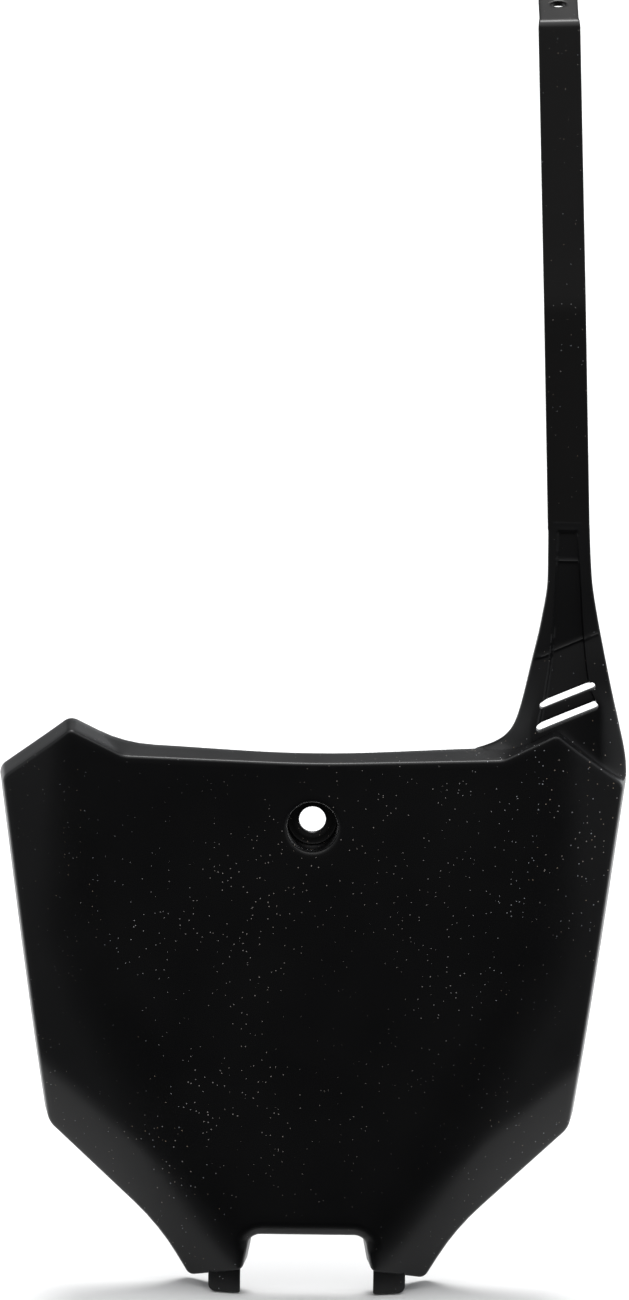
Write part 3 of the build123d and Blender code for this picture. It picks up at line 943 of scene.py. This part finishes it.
def band_piece(name, start, end):
    """One stretch of the band, as a plain mesh with its place in its points."""
    line = strap_line()
    modifier = line.modifiers.new("band", "NODES")
    modifier.node_group = band_tree
    values = {"Width": strap_wide * MM, "Thickness": strap_thick * MM, "Edge Radius": 0.6 * MM,
              "Bend Radius": 30 * MM, "Start": start * MM, "End": end * MM, "Step": 1.3 * MM,
              "Tilt": -strap_tilt_angle, "Foot": [float(c) * MM for c in hinges[0]]}
    for item in band_tree.interface.items_tree:
        if item.in_out == "INPUT" and item.name in values:
            modifier[item.identifier] = values[item.name]
    graph = bpy.context.evaluated_depsgraph_get()
    mesh = bpy.data.meshes.new_from_object(line.evaluated_get(graph))
    bpy.data.objects.remove(line)
    return finished(name, mesh, strap_finish_painted_lighter)


cuts = [0.0] + [foot_length + pitch * (k + 0.5) for k in range(7)]
for k in range(7):
    piece = band_piece(f"strap_band_{k + 1}", cuts[k], cuts[k + 1])
    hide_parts(f"strap_link_{k + 1}")
    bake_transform(piece)

# %% [markdown]
# ## The bent tip
# The last stretch folds back at a sharp crease and ends in a tongue with two rounded
# corners, a hole, and the stub where the moulding gate was cut.  It is drawn flat, as
# the mould maker would, and then laid along the folded line.

# %% Tip mesh
tip_round, tip_hole, hole_inset = 3.0, 2.8, 7.5
crease_round, fold_reach = 2.2, 5.0
run_up = pitch / 2
crease_trim = crease_round * math.tan(tip_fold_angle / 2)
crease_start = run_up - crease_trim
crease_arc = crease_round * tip_fold_angle
tip_end = crease_start + crease_arc + tip_long - crease_trim
tip_foot = hinges[7] - last_up * run_up
back_normal = (tip_along - last_up * (tip_along @ last_up))
back_normal = back_normal / np.linalg.norm(back_normal)


def folded(across, run, rise):
    """A point of the flat tip, across, along and above its middle, on the folded line."""
    straight = np.clip(run, None, crease_start)
    turn = np.clip((run - crease_start) / crease_round, 0, tip_fold_angle)
    beyond_fold = np.clip(run - crease_start - crease_arc, 0, None)
    along = last_up * np.cos(turn)[:, None] + back_normal * np.sin(turn)[:, None]
    normal = last_up * np.sin(turn)[:, None] - back_normal * np.cos(turn)[:, None]
    centre = tip_foot + last_up * straight[:, None]
    centre = centre + crease_round * (last_up * np.sin(turn)[:, None]
                                      + back_normal * (1 - np.cos(turn))[:, None])
    centre = centre + along * beyond_fold[:, None]
    return centre + strap_across * across[:, None] + normal * rise[:, None]


def tip_outline(inset):
    """The flat tip; the corners at its foot are cut square to meet the band."""
    half, end_half = strap_wide / 2, tip_wide / 2
    corners = [(-half, -1.0, 0.2), (half, -1.0, 0.2), (half, crease_start, 8.0),
               (end_half, crease_start + 5.0, 8.0), (end_half, tip_end, tip_round),
               (-end_half, tip_end, tip_round), (-end_half, crease_start + 5.0, 8.0),
               (-half, crease_start, 8.0)]
    return rounded_loop(corners, inset, 0.1, step=0.8)


def strap_tip():
    """The tongue with its hole, and the gate stub on its end."""
    tip = Shell()
    half, edge = strap_thick / 2, 0.5
    turns = np.linspace(0, 2 * math.pi, 40, endpoint=False)
    circle = np.stack([np.cos(turns), np.sin(turns)], 1)
    centre = np.array([0.0, tip_end - hole_inset])
    outer_rings, hole_rings = [], []
    for sign in (1, -1):
        for k in range(4):
            turn = math.pi / 2 * (k if sign > 0 else 3 - k) / 3
            inset, drop = edge * (1 - math.sin(turn)), edge * (1 - math.cos(turn))
            loop = tip_outline(inset)
            loop[:, 1] = np.clip(loop[:, 1], 0, None)
            hole = centre + circle * (tip_hole + inset * 0.7)
            for rings, flat in ((outer_rings, loop), (hole_rings, hole)):
                rings.append((flat, np.full(len(flat), sign * (half - drop))))
    laid = [[folded(flat[:, 0], flat[:, 1], rise) for flat, rise in rings]
            for rings in (outer_rings, hole_rings)]
    for rings in laid:
        tip.bands(rings)
    fold = np.linspace(crease_start, crease_start + crease_arc, 9)
    wide = np.linspace(-8, 8, 24)
    guides = [np.stack([wide, 0 * wide + row], 1) for row in fold]
    for end in (0, -1):
        flat, rise = outer_rings[end]
        points, faces = triangulated(flat, [hole_rings[end][0]], guides, 0.9)
        tip.skin(folded(points[:, 0], points[:, 1], np.full(len(points), rise[0])), faces)
    stub = [(-1.6, tip_end - 0.6, 0.2), (1.6, tip_end - 0.6, 0.2), (1.6, tip_end + 1.2, 0.3),
            (-1.6, tip_end + 1.2, 0.3)]
    loops = [(rounded_loop(stub, inset, 0.1, step=0.5), rise)
             for inset, rise in ((0.2, 0.7), (0.0, 0.5), (0.0, -0.5), (0.2, -0.7))]
    tip.bands([folded(loop[:, 0], loop[:, 1], np.full(len(loop), rise)) for loop, rise in loops])
    for loop, rise in (loops[0], loops[-1]):
        points, faces = triangulated(loop, [], [], 0.5)
        tip.skin(folded(points[:, 0], points[:, 1], np.full(len(points), rise)), faces)
    return tip.piece("strap_tip_tongue", strap_finish_painted_lighter)


tip_piece = strap_tip()
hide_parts("strap_tip")
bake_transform(tip_piece)

# %% [markdown]
# ## Floor
# The part stands over a plain pale floor.  The floor ends just in front of the plate,
# because a black face would mirror it as a pale haze.

# %% Floor
floor_material = bpy.data.materials.new("pale_studio_floor")
floor_material.use_nodes = True
floor_tree = floor_material.node_tree
floor_tree.nodes["Principled BSDF"].inputs["Base Color"].default_value = linear("F4F4F4")
floor_tree.nodes["Principled BSDF"].inputs["Roughness"].default_value = 0.9
floor_gap, floor_front, floor_back, floor_side = 0.0005, -0.017, 14, 8
floor_z = cad_low.z - floor_gap
floor_mesh = bpy.data.meshes.new("studio_floor")
floor_mesh.from_pydata([(-floor_side, floor_front, floor_z), (floor_side, floor_front, floor_z),
                        (floor_side, floor_back, floor_z), (-floor_side, floor_back, floor_z)],
                       [], [(0, 1, 2, 3)])
floor_mesh.materials.append(floor_material)
floor = bpy.data.objects.new("studio_floor", floor_mesh)
bpy.context.scene.collection.objects.link(floor)
print("floor at z", round(floor_z, 4))

# %% [markdown]
# ## The room
# A black plastic shows little of its own colour and mostly mirrors what stands round
# it, so the room is painted by direction, from what each surface reflects: dark in
# front, pale at the sides, a lit wall low behind on the right, a dim upper front for the
# leaning strap, and a softbox on the ceiling for upward edges.

# %% Room tones
# each zone follows one axis of the direction: axis, start, end, value at start and at end
zones = {"turned": ("Y", -1.0, 1.0, 0.0, 1.0), "backdrop": ("Z", 0.22, 0.4, 1.9, 0.1),
         "behind": ("Y", 0.0, 0.5, 0.0, 1.0), "rightward": ("X", -0.2, 0.3, 0.25, 1.0),
         "below": ("Z", -0.6, -0.35, 0.25, 1.0), "ahead": ("Y", -0.3, -0.9, 0.0, 1.0),
         "lift": ("Z", -0.08, 0.08, 0.0, 0.42), "fall": ("Z", 0.1, 0.22, 1.0, 0.45),
         "ceiling": ("Z", 0.58, 0.72, 0.0, 1.35), "in_front": ("Y", 0.3, 0.0, 0.0, 1.0)}
room_tones = [(0.0, 0.05), (0.12, 0.065), (0.2, 0.2), (0.36, 0.6), (0.5, 0.85), (1.0, 0.85)]
sky = bpy.data.worlds.new("studio_room")
sky.use_nodes = True
room = sky.node_tree
room.nodes.clear()
ways = add_node(room, "ShaderNodeTexCoord").outputs["Generated"]
way = add_node(room, "ShaderNodeSeparateXYZ", {"Vector": ways}).outputs
zone = {}
for name, (axis, start, end, at_start, at_end) in zones.items():
    node = add_node(room, "ShaderNodeMapRange", {"Value": way[axis], "From Min": start,
                                                 "From Max": end, "To Min": at_start,
                                                 "To Max": at_end})
    zone[name] = node.outputs["Result"]
ramp = add_node(room, "ShaderNodeValToRGB", {"Fac": zone["turned"]})
stops = ramp.color_ramp.elements
stops.remove(stops[1])
stops[0].color = (room_tones[0][1],) * 3 + (1.0,)
for place, tone in room_tones[1:]:
    stops.new(place).color = (tone * 0.96, tone * 0.98, tone, 1.0)
print("room has", len(zones), "zones and tones", room_tones)

# %% Room lights
lit_wall = add_node(room, "ShaderNodeMath", {0: zone["backdrop"], 1: zone["rightward"]},
                    operation="MULTIPLY")
wall_share = add_node(room, "ShaderNodeMix", {0: zone["behind"], 2: 1.0, 3: lit_wall.outputs[0]})
share = add_node(room, "ShaderNodeMath", {0: wall_share.outputs[0], 1: zone["below"]},
                 operation="MULTIPLY")
walls = add_node(room, "ShaderNodeVectorMath", {0: ramp.outputs["Color"], 1: share.outputs[0]},
                 operation="MULTIPLY")
strip = add_node(room, "ShaderNodeMath", {0: zone["lift"], 1: zone["fall"]}, operation="MULTIPLY")
upper = add_node(room, "ShaderNodeMath", {0: zone["ahead"], 1: strip.outputs[0]},
                 operation="MULTIPLY")
softbox = add_node(room, "ShaderNodeMath", {0: zone["ceiling"], 1: zone["in_front"]},
                   operation="MULTIPLY")
lower_tone = add_node(room, "ShaderNodeVectorMath", {0: walls.outputs["Vector"],
                                                     1: upper.outputs[0]}, operation="ADD")
tone = add_node(room, "ShaderNodeVectorMath", {0: lower_tone.outputs["Vector"],
                                               1: softbox.outputs[0]}, operation="ADD")
glow = add_node(room, "ShaderNodeBackground", {"Color": tone.outputs["Vector"], "Strength": 1.0})
add_node(room, "ShaderNodeOutputWorld", {"Surface": glow.outputs[0]})
bpy.context.scene.world = sky
print("room has", len(room.nodes), "nodes")

# %% [markdown]
# ## Sun and camera
# One broad lamp above and a little behind gives the soft shadow on the floor.  The
# camera stands far off, so that the two sides of the plate are seen nearly alike.

# %% Sun
sun_tilt, sun_spread, sun_strength = math.radians(-24), math.radians(24), 2.1
sun_data = bpy.data.lights.new("overhead_softbox", "SUN")
sun_data.energy = sun_strength
sun_data.angle = sun_spread
sun = bpy.data.objects.new("overhead_softbox", sun_data)
sun.rotation_euler = (sun_tilt, 0, 0)
bpy.context.scene.collection.objects.link(sun)
print("sun tilted by", round(math.degrees(sun_tilt)), "degrees")

# %% Camera
camera_distance = 4.0
camera_rise = math.radians(13.0)
camera_roll = math.radians(0.73)
frame_height = 0.498
sight = Vector((0, math.cos(camera_rise), -math.sin(camera_rise)))
level_up = Vector((0, math.sin(camera_rise), math.cos(camera_rise)))
image_right = Vector((1, 0, 0)) * math.cos(camera_roll) + level_up * math.sin(camera_roll)
image_up = level_up * math.cos(camera_roll) - Vector((1, 0, 0)) * math.sin(camera_roll)
aim_right, aim_up = 0.77, 64.7
aim = image_right * aim_right * MM + image_up * aim_up * MM
camera_data = bpy.data.cameras.new("studio_camera")
camera_data.lens = camera_data.sensor_width * camera_distance / frame_height
camera = bpy.data.objects.new("studio_camera", camera_data)
camera.matrix_world = Matrix.Translation(aim - sight * camera_distance) @ Matrix(
    (image_right, image_up, -sight)).transposed().to_4x4()
bpy.context.scene.collection.objects.link(camera)
bpy.context.scene.camera = camera
bpy.context.scene.view_settings.view_transform = "Standard"
print("lens", round(camera_data.lens, 1), "mm")
